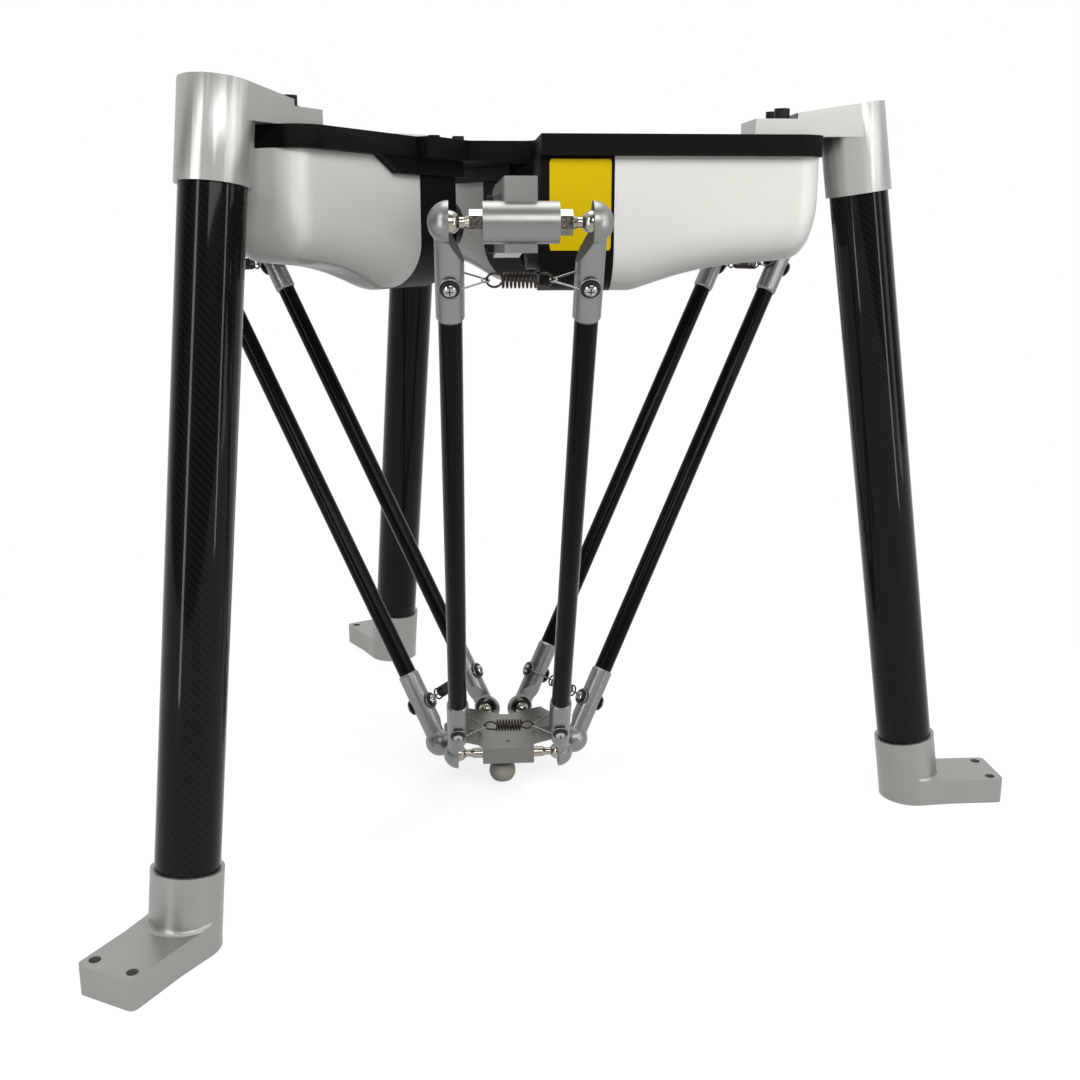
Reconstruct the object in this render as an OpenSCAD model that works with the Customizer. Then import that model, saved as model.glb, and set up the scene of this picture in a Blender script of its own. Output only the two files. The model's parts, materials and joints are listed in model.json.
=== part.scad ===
// Delta robot on three splayed tube legs: top plate, three motor arms,
// three rod pairs with sprung ball joints and a small tool platform.
// Origin on the robot axis at floor level, +Z up, front arm along -Y.

/* [Stand] */
// outer diameter of the carbon leg tubes
leg_d = 50; // [40:0.5:60]
// lean of each leg outward from vertical, degrees
leg_lean = 8.57; // [0:0.01:15]
// distance of the leg plane from the robot axis
leg_side = 75; // [60:0.5:90]
// wall of the clamp sleeves around the tubes
sleeve_wall = 3; // [2:0.1:6]
// thickness of the foot flange
foot_t = 24; // [16:0.5:32]
// reach of the foot flange from the leg axis
foot_reach = 82.9; // [70:0.1:100]
// floor bolt holes, distance from the leg axis
foot_hole_out = 72.3; // [60:0.1:76]
// floor bolt holes, half spacing
foot_hole_half = 17.9; // [14:0.1:20]
// floor bolt hole diameter, M8 clearance
foot_hole_d = 9; // [8.4:0.1:11]
// half width of the foot flange
foot_half = 26.2; // [24:0.1:30]
// plan radius of the foot flange's outer corners
foot_corner = 5; // [3:0.5:10]
// height of the foot sleeve above the floor
foot_h = 63.1; // [50:0.1:80]
// wall of the leg tubes
leg_wall = 2.5; // [1.5:0.1:4]

// height of a bracket above the plate, at the leg axis
bracket_h = 27; // [20:0.5:40]
// depth of a bracket sleeve below the plate top
bracket_drop = 45.3; // [30:0.1:60]
// thickness of the bolted ledge
ledge_t = 14.2; // [10:0.1:18]
// length of the ledge from the raised part inward
ledge_len = 35.5; // [30:0.1:45]
// half spacing of the two ledge screws
bolt_half = 15; // [10:0.1:18]

/* [Top plate] */
// height of the underside of the top plate
plate_z = 597.5; // [580:0.5:620]
// thickness of the top plate
plate_t = 16.8; // [12:0.1:22]
// distance from the axis to the plate edge behind each arm
plate_in = 37; // [34:0.5:40]
// outer end of plate and motor covers, along the leg plane
cover_end = 264.5; // [256:0.5:272]
// gap between the plate end and the leg sleeve, at the plate top
sleeve_gap = 8; // [1:0.1:12]
// half width of the plate's three blades
plate_half = 52; // [46:0.5:56]
// length of the wider web of a blade, along the leg plane
web_end = 110; // [90:0.5:125]
// distance of the web's edge from the robot axis
web_in = 8; // [2:0.5:20]
// plan radius of the outer corners
corner_r = 22; // [16:0.5:28]

/* [Motor housings] */
// half width of a motor housing and radius of its round underside
house_r = 41.5; // [40:0.5:44]
// height of the lowest point of a motor housing
house_z = 487; // [482:0.5:490]
// inner end of the gear housing, along the leg plane
house_in = 27; // [26:0.5:32]
// where the gear housing ends and the motor cover begins
house_mid = 88; // [76:0.5:96]
// length of the deep belly of a cover before its sweep
belly = 16; // [10:0.5:30]
// length of the sweep from the belly to the shallow end
sweep = 111; // [80:0.5:120]
// rise of the sweep
sweep_rise = 24; // [15:0.5:28]
// reach of the lower end corner along the cover
end_r = 27; // [15:0.5:30]
// underside of the shoulder beside each housing
shoulder_z = 584; // [580:0.5:592]
// where the shoulder begins to slope up to the plate
shoulder_end = 133; // [100:0.5:140]
// skin of the motor covers
cover_skin = 3; // [2:0.1:4]

/* [Arms and rods] */
// height of motor axes and of the upper ball line
axis_z = 543; // [530:0.5:560]
// arm length from motor axis to ball line
arm_len = 246.8; // [200:0.1:280]
// width of the arm beam
arm_w = 22; // [16:0.5:24]
// height of the arm beam at its tip
arm_tip_h = 50; // [40:0.5:56]
// radius of the arm hub on the gear output
hub_r = 28; // [26:0.5:34]
// half spacing of the two balls of a pair
ball_half = 48.4; // [44:0.1:52]
// ball radius
ball_r = 8; // [7:0.1:8.5]
// outer radius of the ball cups
cup_r = 14.4; // [13.8:0.1:15.5]
// diameter of the carbon rods
rod_d = 17.4; // [14:0.1:18]
// diameter of the rod end fittings
end_d = 20.5; // [19.8:0.1:22]
// length of a rod end fitting from the ball centre
end_len = 75; // [65:0.5:90]
// distance of the spring bolt from the ball centre
bolt_at = 44; // [40:0.5:50]
// diameter of the cross shaft
shaft_d = 28; // [24:0.5:30]
// half length of the cross shaft
shaft_half = 25.75; // [23:0.05:28]

/* [Platform] */
// radius of the lower ball line
low_r = 49.05; // [46:0.05:54]
// height of the lower ball line at rest
low_z = 43.4; // [40:0.1:60]
// thickness of the platform
deck_t = 15.6; // [12:0.1:18]
// radius of the platform between its lugs
deck_web = 31; // [29:0.5:40]
// half width of a platform lug
lug_half = 24.75; // [22:0.05:26]
// underside of the tool knob at rest
knob_z = 8; // [7:0.1:14]
// tool knob, sideways from the robot axis
knob_x = -5; // [-12:0.1:12]
// tool knob, forward (negative) from the robot axis
knob_y = -30; // [-40:0.1:0]
// distance of the lower spring bolts from the ball centre
low_bolt_at = 41.5; // [38:0.5:50]

/* [Hidden] */
$fn = 64;
sleeve_r = leg_d/2 + sleeve_wall;      // outside of the clamp sleeves
glue = 0.1;                            // bond line around tubes in their sockets
run = 0.35;                            // running gap at ball, hub and flange
plate_top = plate_z + plate_t;
rise = axis_z - low_z;
run_in = leg_side + arm_len - low_r;   // radial run of a rod
rod_len = sqrt(rise*rise + run_in*run_in);
rod_lean = atan2(run_in, rise);
c_l = cos(leg_lean);
leg_out = cover_end + sleeve_gap + sleeve_r/c_l + plate_top*tan(leg_lean); // leg axis at the floor
cap_z = plate_top + bracket_h;
sleeve_s = (plate_top - bracket_drop)/c_l;   // sleeve foot along the leg
cap_s = cap_z/c_l;                           // bracket top along the leg
tube_top = cap_s - 14;
tube_low = 16;
drift = 4.65;                          // room of a lower cup around its ball
step_x = cover_end - 21;
ledge_in = step_x - ledge_len;
bolt_x = step_x - 10.5;
slot_x = rod_d/2 + glue;
bolt_d = 8;                            // bracket screws
bolt_head = 13;
washer_d = 16;
trim = 60;                             // half width of the block that levels the feet
beam_x = 60;                           // where an arm is deepest, from its motor axis
beam_low = 23;
beam_top = 30.5;
tip_low = 20;                          // underside of an arm at its tip, below the axis
cup_cut = 20;                          // reach of the open side of a cup
knob_r = 13;
knob_h = 17;
spool_r = 6.5;
spool_t = 3;
wire_r = 0.8;
coil_half = 12.5;
hook_r = 5.4;
hook_x = coil_half + 2*hook_r - 0.4;   // outer end of a spring hook
eye_r = 2.4;                           // eye of a link around the hook wire
seat_r = 36;                           // bore in the gear housing that centres the motor
motor_len = 110;
motor_half_w = 34;
motor_half_h = 27;
flange_r = 38;
collar_r = 24;
flange_x = house_in - 10;
screw_circle = 20;
screw_head = 5;
pocket_x = 52;                         // where the side pockets of an arm begin

function leg_x(z) = leg_out - z*tan(leg_lean);
function bez(a, b, c, d, t) =
  a*pow(1-t,3) + 3*b*t*pow(1-t,2) + 3*c*t*t*(1-t) + d*pow(t,3);

module at(k) rotate([0, 0, 120*(k-1)]) children();
module leg_frame(k) at(k) translate([leg_out, -leg_side, 0]) rotate([0, -leg_lean, 0]) children();
module motor_frame(k) at(k) translate([0, -leg_side, axis_z]) children();
module tip_frame(k) at(k) translate([0, -leg_side - arm_len, axis_z]) children();
module rod_frame(k) tip_frame(k) rotate([rod_lean, 0, 0]) children();
module along_x(x0, x1, r) translate([x0, 0, 0]) rotate([0, 90, 0]) cylinder(r = r, h = x1 - x0);
module along_y(y0, y1, r) translate([0, y0, 0]) rotate([-90, 0, 0]) cylinder(r = r, h = y1 - y0);
module both() for (s = [0, 1]) mirror([s, 0, 0]) children();
module wire(p, q) {
  v = q - p;
  l = norm(v);
  translate(p) rotate([0, acos(v[2]/l), atan2(v[1], v[0])]) cylinder(r = wire_r - 0.1, h = l);
}

// plan of a bar along +X with both corners of its outer end rounded
module round_end(half, end) {
  union() {
    translate([0, -leg_side - half]) square([end - corner_r, 2*half]);
    translate([0, -leg_side - half + corner_r]) square([end, 2*(half - corner_r)]);
    for (s = [-1, 1])
      translate([end - corner_r, -leg_side + s*(half - corner_r)]) circle(corner_r);
  }
}

// ---- stand ----
module plate_blade() {
  intersection() {
    translate([house_in, -leg_side - plate_half]) square([cover_end - house_in, 2*plate_half]);
    round_end(plate_half, cover_end);
  }
  polygon([[house_in, -leg_side], [web_end, -leg_side], [web_end, -web_in - 4],
    [web_end - 4, -web_in], [house_in, -web_in]]);
}
module plate_corner(r) {
  difference() {
    translate([house_in - r, -plate_in - r]) square(r + 1);
    translate([house_in - r, -plate_in - r]) circle(r);
  }
}
module base_plate() {
  color([0.03, 0.03, 0.03]) difference() {
    translate([0, 0, plate_z]) linear_extrude(plate_t) union() {
      for (k = [1:3]) rotate(120*(k-1)) {
        plate_blade();
        plate_corner(12);
      }
      polygon([for (a = [-30, 90, 210]) 2*plate_in*[cos(a), sin(a)]]);
    }
    for (k = [1:3]) at(k) for (s = [-1, 1])
      translate([bolt_x, -leg_side + s*bolt_half, plate_top - 11]) cylinder(d = bolt_d + 0.2, h = 12);
  }
}

module leg_bracket(k) {
  color([0.75, 0.75, 0.74]) difference() {
    union() {
      leg_frame(k) translate([0, 0, sleeve_s]) cylinder(r = sleeve_r, h = cap_s - sleeve_s);
      at(k) translate([0, -leg_side + sleeve_r, 0]) rotate([90, 0, 0]) linear_extrude(2*sleeve_r)
        polygon([[ledge_in, plate_top], [leg_x(plate_top), plate_top],
          [leg_x(cap_z), cap_z], [step_x, cap_z - (leg_x(cap_z) - step_x)*tan(leg_lean)],
          [step_x, plate_top + ledge_t], [ledge_in, plate_top + ledge_t]]);
    }
    leg_frame(k) translate([0, 0, sleeve_s - 1]) cylinder(r = leg_d/2 + glue, h = tube_top - sleeve_s + 1);
    at(k) for (s = [-1, 1])
      translate([bolt_x, -leg_side + s*bolt_half, plate_top - 1]) cylinder(d = bolt_d + 1, h = ledge_t + 2);
  }
}
module bracket_bolts() {
  color([0.08, 0.08, 0.09]) for (k = [1:3]) at(k) for (s = [-1, 1])
    translate([bolt_x, -leg_side + s*bolt_half, plate_top + ledge_t]) difference() {
      union() {
        cylinder(d = washer_d, h = 1.2);
        cylinder(d = bolt_head, h = 9);
        translate([0, 0, -ledge_t - 10]) cylinder(d = bolt_d, h = ledge_t + 11);
      }
      translate([0, 0, 5]) cylinder(d = 7, h = 5, $fn = 6);
    }
}
module leg_tube(k) {
  color([0.05, 0.05, 0.05]) leg_frame(k) difference() {
    translate([0, 0, tube_low]) cylinder(d = leg_d, h = tube_top - tube_low);
    translate([0, 0, tube_low - 1]) cylinder(d = leg_d - 2*leg_wall, h = tube_top - tube_low + 2);
  }
}
module foot_plan() {
  union() {
    circle(r = sleeve_r + 0.6);
    polygon([[0, -sleeve_r - 0.6], [34, -foot_half], [foot_reach - foot_corner, -foot_half],
      [foot_reach - foot_corner, foot_half], [34, foot_half], [0, sleeve_r + 0.6]]);
    translate([foot_reach - foot_corner - 1, foot_corner - foot_half])
      square([foot_corner + 1, 2*(foot_half - foot_corner)]);
    for (s = [-1, 1]) translate([foot_reach - foot_corner, s*(foot_half - foot_corner)]) circle(foot_corner);
  }
}
module foot(k) {
  color([0.75, 0.75, 0.74]) difference() {
    union() {
      leg_frame(k) translate([0, 0, -10]) cylinder(r = sleeve_r, h = foot_h/c_l + 10);
      at(k) translate([leg_out, -leg_side, 0]) linear_extrude(foot_t) foot_plan();
      // sloped seam between sleeve and flange
      intersection() {
        leg_frame(k) translate([0, 0, foot_t - 7]) cylinder(r1 = sleeve_r + 14, r2 = sleeve_r, h = 14);
        at(k) translate([leg_out, -leg_side, 0]) linear_extrude(2*foot_t) foot_plan();
      }
    }
    at(k) translate([leg_out - trim, -leg_side - trim, -trim]) cube([2*trim, 2*trim, trim]);
    leg_frame(k) translate([0, 0, tube_low]) cylinder(r = leg_d/2 + glue, h = foot_h);
    at(k) for (s = [-1, 1])
      translate([leg_out + foot_hole_out, -leg_side + s*foot_hole_half, -1])
        cylinder(d = foot_hole_d, h = foot_t + 2);
  }
}

// ---- motor housings ----
module u_section(r, x0, x1) {
  translate([x0, -leg_side, house_z + house_r]) rotate([90, 0, 90]) linear_extrude(x1 - x0) union() {
    intersection() {
      circle(r);
      translate([-r, -r]) square([2*r, r + 1]);
    }
    translate([-r, 0]) square([2*r, plate_z - house_z - house_r]);
  }
}
module cover_form(o) {
  s0 = [house_mid + belly, house_z];
  s3 = s0 + [sweep, sweep_rise];
  m1 = s0 + [0.11*sweep, 0];
  m2 = s0 + [0.415*sweep, sweep_rise - 3];
  e = cover_end - o;
  intersection() {
    u_section(house_r - o, house_mid, e);
    translate([0, 0, house_z - 10]) linear_extrude(plate_z - house_z + 20) round_end(house_r, e);
    translate([0, -leg_side + 2*house_r, o]) rotate([90, 0, 0]) linear_extrude(4*house_r) polygon(concat(
      [[0, plate_z], [0, house_z - 1], [s0[0] - 1, house_z - 1]],
      [for (i = [0:12]) bez(s0, m1, m2, s3, i/12)],
      [for (i = [0:8]) [e - end_r + (end_r - 1)*sin(i*90/8), s3[1] + 2 + 1.2*end_r*(1 - cos(i*90/8))]],
      [[e + 1, plate_z]]));
  }
}
module motor_cover(k) {
  color([0.86, 0.86, 0.84]) at(k) difference() {
    cover_form(0);
    cover_form(cover_skin);
  }
}
module gear_housing(k) {
  color([0.03, 0.03, 0.035]) at(k) difference() {
    union() {
      u_section(house_r, house_in, house_mid);
      // shoulder under the plate's overhang, on the side towards the robot axis
      translate([0, plate_half - leg_side - 2, 0]) rotate([90, 0, 0]) linear_extrude(plate_half - house_r - 2)
        polygon([[house_in, shoulder_z], [shoulder_end, shoulder_z],
          [shoulder_end + 27, plate_z], [house_in, plate_z]]);
      translate([house_in, house_r - leg_side - 3, shoulder_z]) cube([house_mid - house_in - 1, 5, plate_z - shoulder_z]);
    }
    translate([house_mid - 6, -leg_side, axis_z]) along_x(0, 7, seat_r);
  }
}
module motor(k) {
  color([0.12, 0.12, 0.13]) at(k) translate([house_mid - 6, -leg_side, axis_z]) difference() {
    union() {
      intersection() {
        along_x(0, motor_len, seat_r - 0.1);
        translate([0, -motor_half_w, -motor_half_h]) cube([motor_len, 2*motor_half_w, 2*motor_half_h]);
      }
      along_x(0, 8, seat_r - 0.1);
    }
    translate([motor_len - 26, 0, motor_half_h]) cylinder(r = 6, h = 20, center = true);
  }
}
module gear_flange(k) {
  color([0.14, 0.14, 0.15]) motor_frame(k) union() {
    along_x(flange_x, house_in, flange_r);
    along_x(arm_w/2 + run, flange_x + 0.5, collar_r);
  }
}

// ---- arms ----
module arm_side() {
  // side view, x = reach from the motor axis, y = height
  union() {
    circle(hub_r);
    polygon([[0, hub_r], [0, -hub_r], [beam_x, -beam_low], [arm_len + 3, -tip_low],
      [arm_len + 3, arm_tip_h - tip_low], [beam_x, beam_top]]);
  }
}
module upper_arm(k) {
  color([0.72, 0.72, 0.71]) motor_frame(k) difference() {
    translate([-arm_w/2, 0, 0]) rotate([90, 0, -90]) mirror([0, 0, 1])
      linear_extrude(arm_w) arm_side();
    translate([0, -arm_len, 0]) along_x(-arm_w, arm_w, shaft_d/2);
    both() translate([arm_w/2 - 5, 0, 0]) rotate([90, 0, -90]) mirror([0, 0, 1]) linear_extrude(8)
      polygon([[pocket_x, -15], [arm_len - 34, -12], [arm_len - 34, 22], [pocket_x, 22]]);
    for (a = [0:60:300]) rotate([a, 0, 0]) translate([0, 0, screw_circle])
      along_x(-arm_w, -arm_w/2 + 14, 2.5);
  }
}
module hub_screws(k) {
  color([0.1, 0.1, 0.11]) motor_frame(k) for (a = [0:60:300]) rotate([a, 0, 0])
    translate([-arm_w/2, 0, screw_circle]) difference() {
      union() {
        along_x(-screw_head, 0, 4.25);
        along_x(-1, 12, 2.45);
      }
      translate([-screw_head - 0.5, 0, 0]) rotate([0, 90, 0]) cylinder(d = 4.6, h = 3, $fn = 6);
    }
}
module cross_shaft(k) {
  color([0.8, 0.8, 0.79]) tip_frame(k) difference() {
    along_x(-shaft_half, shaft_half, shaft_d/2);
    both() along_x(shaft_half - 12, shaft_half + 1, 4);
  }
}
module stud(x0, long, wide, six) {
  union() {
    along_x(x0, x0 + long, wide);
    translate([x0 + long - 0.5, 0, 0]) rotate([0, 90, 0]) cylinder(r1 = 5, r2 = 3.6, h = 4);
    along_x(x0 + long, ball_half, 3.6);
    translate([ball_half, 0, 0]) sphere(ball_r);
    along_x(x0 - 10, x0 + 1, 3.9);
    if (six > 0) translate([x0, 0, 0]) rotate([0, 90, 0]) cylinder(r = six, h = long, $fn = 6);
  }
}
module ball_studs(k) {
  color([0.7, 0.68, 0.64]) tip_frame(k) both() stud(shaft_half, 9, 7, 8.6);
}

// ---- rods ----
module low_frame(k) rod_frame(k) translate([0, 0, -rod_len]) mirror([0, 0, 1]) children();
module rod_tubes(k) {
  color([0.04, 0.04, 0.04]) rod_frame(k) both() translate([ball_half, 0, 0]) difference() {
    translate([0, 0, -rod_len + end_len - 18]) cylinder(d = rod_d, h = rod_len - 2*end_len + 36);
    translate([0, 0, -rod_len + end_len - 19]) cylinder(d = rod_d - 3, h = rod_len - 2*end_len + 38);
  }
}
module half_ball(r, deep) rotate([0, 90, 0]) rotate_extrude() intersection() {
  circle(r);
  square([r, deep]);
}
module end_fitting(room, at) {
  translate([ball_half, 0, 0]) difference() {
    union() {
      half_ball(cup_r, cup_r);
      difference() {
        union() {
          translate([0, 0, -end_len + 2]) cylinder(d = end_d, h = end_len - 2);
          translate([0, 0, -end_len]) cylinder(d1 = end_d - 3, d2 = end_d, h = 2);
        }
        translate([0, cup_cut, 0]) rotate([90, 0, 0]) linear_extrude(2*cup_cut)
          polygon([[0, 1], [0, -10 - room], [-10.6, -30], [-cup_cut, -30], [-cup_cut, 1]]);
      }
    }
    half_ball(ball_r + room, ball_r + run);
    translate([0, 0, -end_len - 1]) cylinder(r = slot_x, h = 19);
    translate([0, 0, -at]) along_y(-20, 20, 2.6);
  }
}
module rod_ends(k) {
  color([0.72, 0.73, 0.72]) {
    rod_frame(k) both() end_fitting(run, bolt_at);
    low_frame(k) both() end_fitting(drift, low_bolt_at);
  }
}
module bolt_lines(k) rod_frame(k) {
  translate([0, 0, -bolt_at]) children();
  translate([0, 0, low_bolt_at - rod_len]) mirror([0, 0, 1]) children();
}
module link_spools(k) {
  color([0.03, 0.03, 0.03]) bolt_lines(k) both() translate([ball_half, 0, 0]) for (s = [0, 1]) mirror([0, s, 0])
      difference() {
        along_y(end_d/2 - 0.6, end_d/2 + spool_t, spool_r);
        along_y(0, 20, 2.6);
        translate([0, 0, -10]) cylinder(d = end_d, h = 20);
      }
}
module link_bolts(k) {
  color([0.75, 0.75, 0.76]) bolt_lines(k) both() translate([ball_half, 0, 0]) union() {
      along_y(-end_d/2 - spool_t - 0.5, end_d/2 + spool_t + 0.5, 2.5);
      for (s = [0, 1]) mirror([0, s, 0]) intersection() {
        along_y(end_d/2 + spool_t, end_d/2 + spool_t + 3, 4.4);
        translate([0, end_d/2 + spool_t - 3, 0]) sphere(6.3);
      }
    }
}
module spring() {
  translate([-coil_half, 0, 0]) rotate([0, 90, 0]) rotate_extrude() union()
    for (i = [0:16]) translate([5, i*2*coil_half/16]) circle(r = 0.85, $fn = 20);
  both() union() {
    translate([hook_x - hook_r, 0, 0]) rotate([90, 0, 0])
      rotate_extrude() translate([hook_r, 0]) circle(r = 0.8, $fn = 20);
    translate([coil_half - 0.3, 0, 0]) rotate([0, 0, 0]) along_x(0, 0.8, 5.2);
  }
}
module springs(k) {
  color([0.12, 0.09, 0.08]) bolt_lines(k) spring();
}
module wire_eye(r) rotate_extrude() translate([r, 0]) circle(r = wire_r);
module link() {
  y1 = end_d/2 + spool_t/2;
  union() {
    translate([hook_x + eye_r - 1.7, 0, 0]) wire_eye(eye_r);
    for (s = [-1, 1]) {
      wire([hook_x + eye_r - 0.9, s*(eye_r - 0.25), 0], [ball_half - spool_r - 0.9, s*y1, 0]);
      translate([ball_half, s*y1, 0]) rotate([90, 0, 0]) wire_eye(spool_r + 0.9);
    }
  }
}
module spring_links(k) {
  color([0.6, 0.6, 0.6]) bolt_lines(k) both() link();
}

// ---- platform ----
module platform_deck() {
  color([0.7, 0.7, 0.68]) difference() {
    translate([0, 0, low_z - deck_t/2]) linear_extrude(deck_t) union() {
      circle(deck_web);
      for (k = [1:3]) rotate(120*(k-1)) translate([-lug_half, -low_r - 9]) square([2*lug_half, low_r + 9]);
    }
    translate([knob_x, knob_y, low_z - deck_t/2 - 1]) cylinder(r = 3.1, h = 9);
    for (k = [1:3]) at(k) {
      translate([0, -low_r, low_z]) both() along_x(lug_half - 11, lug_half + 1, 4);
      translate([0, -low_r + 9, low_z + deck_t/2 - 6]) cylinder(d = 4, h = 7);
    }
  }
}
module platform_studs() {
  color([0.7, 0.66, 0.55]) for (k = [1:3]) at(k) translate([0, -low_r, low_z]) both()
    stud(lug_half, 8.4, 5, 0);
}
module tool_stem() {
  color([0.62, 0.62, 0.6]) translate([knob_x, knob_y, knob_z + 12]) union() {
    cylinder(r = 6.4, h = low_z - deck_t/2 - knob_z - 12);
    cylinder(r = 3, h = low_z - deck_t/2 - knob_z - 12 + 7);
  }
}
module tool_knob() {
  color([0.55, 0.54, 0.5]) translate([knob_x, knob_y, knob_z]) difference() {
    intersection() {
      translate([0, 0, 9]) sphere(knob_r);
      translate([-2*knob_r, -2*knob_r, 0]) cube([4*knob_r, 4*knob_r, knob_h]);
    }
    translate([0, 0, 12]) cylinder(r = 6.4, h = 20);
  }
}

base_plate();
leg_bracket(1);  // leg_bracket_1
leg_bracket(2);  // leg_bracket_2
leg_bracket(3);  // leg_bracket_3
leg_tube(1);  // leg_tube_1
leg_tube(2);  // leg_tube_2
leg_tube(3);  // leg_tube_3
foot(1);  // foot_1
foot(2);  // foot_2
foot(3);  // foot_3
gear_housing(1);  // gear_housing_1
gear_housing(2);  // gear_housing_2
gear_housing(3);  // gear_housing_3
motor_cover(1);  // motor_cover_1
motor_cover(2);  // motor_cover_2
motor_cover(3);  // motor_cover_3
motor(1);  // motor_1
motor(2);  // motor_2
motor(3);  // motor_3
gear_flange(1);  // gear_flange_1
gear_flange(2);  // gear_flange_2
gear_flange(3);  // gear_flange_3
bracket_bolts();
upper_arm(1);  // upper_arm_1
upper_arm(2);  // upper_arm_2
upper_arm(3);  // upper_arm_3
cross_shaft(1);  // cross_shaft_1
cross_shaft(2);  // cross_shaft_2
cross_shaft(3);  // cross_shaft_3
ball_studs(1);  // ball_studs_1
ball_studs(2);  // ball_studs_2
ball_studs(3);  // ball_studs_3
hub_screws(1);  // hub_screws_1
hub_screws(2);  // hub_screws_2
hub_screws(3);  // hub_screws_3
rod_tubes(1);  // rod_tubes_1
rod_tubes(2);  // rod_tubes_2
rod_tubes(3);  // rod_tubes_3
rod_ends(1);  // rod_ends_1
rod_ends(2);  // rod_ends_2
rod_ends(3);  // rod_ends_3
springs(1);  // springs_1
springs(2);  // springs_2
springs(3);  // springs_3
spring_links(1);  // spring_links_1
spring_links(2);  // spring_links_2
spring_links(3);  // spring_links_3
link_spools(1);  // link_spools_1
link_spools(2);  // link_spools_2
link_spools(3);  // link_spools_3
link_bolts(1);  // link_bolts_1
link_bolts(2);  // link_bolts_2
link_bolts(3);  // link_bolts_3
platform_deck();
platform_studs();
tool_stem();
tool_knob();
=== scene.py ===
"""Delta robot: finishes, carbon tubes, covers, feet, springs and the studio stage.

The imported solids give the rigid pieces. This script paints them, lays woven carbon
tubes over the plain ones, moulds the motor covers, casts the feet, winds the springs,
lays the blank patch, and sets the floor, lights and camera. All lengths are metres.
"""

import json
import math

import bpy
from bpy.props import FloatProperty, FloatVectorProperty, IntProperty, PointerProperty
from mathutils import Matrix, Vector

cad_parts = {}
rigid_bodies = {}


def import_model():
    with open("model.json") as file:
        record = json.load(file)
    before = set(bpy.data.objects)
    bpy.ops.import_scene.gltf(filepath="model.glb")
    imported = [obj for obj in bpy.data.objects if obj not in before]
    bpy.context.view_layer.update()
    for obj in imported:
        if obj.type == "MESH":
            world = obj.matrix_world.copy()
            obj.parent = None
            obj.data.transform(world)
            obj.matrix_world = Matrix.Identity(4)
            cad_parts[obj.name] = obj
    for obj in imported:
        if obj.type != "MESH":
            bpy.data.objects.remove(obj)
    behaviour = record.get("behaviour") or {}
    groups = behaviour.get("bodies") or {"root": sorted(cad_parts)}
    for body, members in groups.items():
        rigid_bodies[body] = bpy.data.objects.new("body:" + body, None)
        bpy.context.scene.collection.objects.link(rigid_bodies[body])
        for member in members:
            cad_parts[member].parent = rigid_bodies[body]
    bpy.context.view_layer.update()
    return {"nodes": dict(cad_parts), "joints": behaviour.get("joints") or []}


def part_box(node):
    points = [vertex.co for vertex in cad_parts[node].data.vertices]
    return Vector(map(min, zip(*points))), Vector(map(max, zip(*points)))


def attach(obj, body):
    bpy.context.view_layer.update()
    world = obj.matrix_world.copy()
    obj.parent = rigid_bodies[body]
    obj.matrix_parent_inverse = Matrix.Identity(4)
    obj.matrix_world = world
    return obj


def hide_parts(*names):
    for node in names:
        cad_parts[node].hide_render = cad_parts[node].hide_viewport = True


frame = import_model()

bl_info = {
    "name": "Delta Robot",
    "version": (1, 0, 0),
    "blender": (4, 5, 0),
    "location": "View3D > Sidebar > Delta Robot",
    "description": "Dresses the delta robot: carbon tubes, springs, finishes and stage",
    "category": "Object",
}

SIDES = (1, 2, 3)
JOINTS = {joint["name"]: joint for joint in frame["joints"]}
BALL_LINE = Vector(JOINTS["forearm_1_swing"]["pos_m"])
DECK_LOW, DECK_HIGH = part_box("platform_deck")
LOW_BALL_HEIGHT = (DECK_LOW[2] + DECK_HIGH[2]) / 2
# lower balls: distance of their line from the robot's axis; half the distance between a pair's balls
LOW_BALL_RADIUS = 0.04905
BALL_HALF = 0.0484
# rods: distance from either ball line to the end of a rod's tube, and their tow's share of the legs'
ROD_END = 0.057
ROD_TOW = 0.8
# spring bolts: distance from the upper and from the lower ball line, and the face of their heads
UPPER_BOLT = 0.044
LOWER_BOLT = 0.0415
HEAD_FACE = 0.01625
# cross recess, drawn as a dark cross of painted shade: reach and half width of its arms, its depth, and
# how far its dark fill stands proud
CROSS_ARM = 0.0024
CROSS_HALF = 0.00045
CROSS_DEPTH = 0.0008
CROSS_PROUD = 0.00004
# springs: steps in each turn, angle where a hook starts, its turn, and its lap over the wound body
COIL_STEPS = 24
HOOK_START = math.radians(104)
HOOK_TURN = math.radians(262)
HOOK_LAP = 0.0004
# edges: break on large and on small pieces, gap below which points are one, angles of a sharp edge
WIDE_BREAK = 0.0007
FINE_BREAK = 0.0005
JOIN_GAP = 0.00001
BREAK_ANGLE = math.radians(40)
CREASE_ANGLE = math.radians(35)
# seam cutter: bite into a foot's flange and into its sleeve, height of its top, and its reach
FLANGE_BITE = 0.00002
SLEEVE_BITE = 0.0001
CUTTER_TOP = 0.09
CUTTER_REACH = 0.2
# cover: shares of the sweep where it leaves the belly and levels out, drop of the levelling point,
# rise of the shallow part, height of the end corner over its reach, least flat between the sides
SWEEP_LEAVE = 0.11
SWEEP_LEVEL = 0.415
LEVEL_DROP = 0.003
SHALLOW_RISE = 0.002
END_HEIGHT = 1.2
LEAST_FLAT = 0.0004
# blank patch: sides from the cover's joint, top from the cover's top, height of its lower edge,
# corner radius, lift off the housing, thickness
PATCH_LEFT = 0.0535
PATCH_RIGHT = 0.0022
PATCH_TOP = 0.0025
PATCH_BOTTOM = 0.5215
PATCH_CORNER = 0.0012
PATCH_LIFT = 0.00025
PATCH_FILM = 0.0004
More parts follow.
